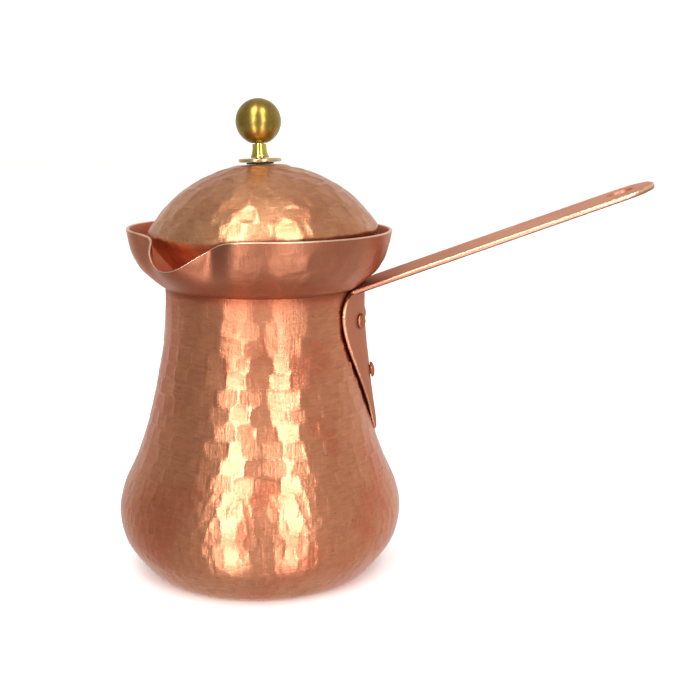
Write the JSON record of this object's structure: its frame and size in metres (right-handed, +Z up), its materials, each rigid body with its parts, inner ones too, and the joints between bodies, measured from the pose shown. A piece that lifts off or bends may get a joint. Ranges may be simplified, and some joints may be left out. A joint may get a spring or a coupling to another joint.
{
  "type": "turkish coffee pot",
  "caption": "Hand-raised copper coffee pot with a pinched pouring lip, a riveted flat strap handle and a loose domed lid with a ball knob.",
  "frame": {"origin": "centre of the pot's flat base", "axes": "+Z up along the pot's axis, +X along the handle, away from the pot"},
  "size_m": [0.1844, 0.1, 0.1646],
  "materials": {
    "pot_copper": "hammered bare copper, satin, with polished hammer marks",
    "handle_copper": "planished bare copper strap, brushed face and bright edge",
    "rivet_copper": "bare copper, hammered rivet heads",
    "lid_copper": "hammered bare copper, satin",
    "satin_brass": "satin brushed brass",
    "bright_brass": "polished brass",
    "black_washer": "matte black fibre washer",
    "screw_steel": "plain steel"
  },
  "bodies": {
    "pot": {"pot_body": "pot_copper", "handle": "handle_copper", "rivet_near": "rivet_copper", "rivet_far": "rivet_copper", "rivet_low": "rivet_copper"},
    "lid": {"lid_shell": "lid_copper", "knob_ball": "satin_brass", "knob_stem": "bright_brass", "knob_disc": "bright_brass", "knob_washer": "black_washer", "screw_washer": "screw_steel", "knob_screw": "screw_steel"}
  },
  "joints": [
    {"name": "lid_lift", "type": "slide", "parent": "pot", "child": "lid", "axis": [0, 0, 1], "range_m": [0, 0.06]}
  ]
}
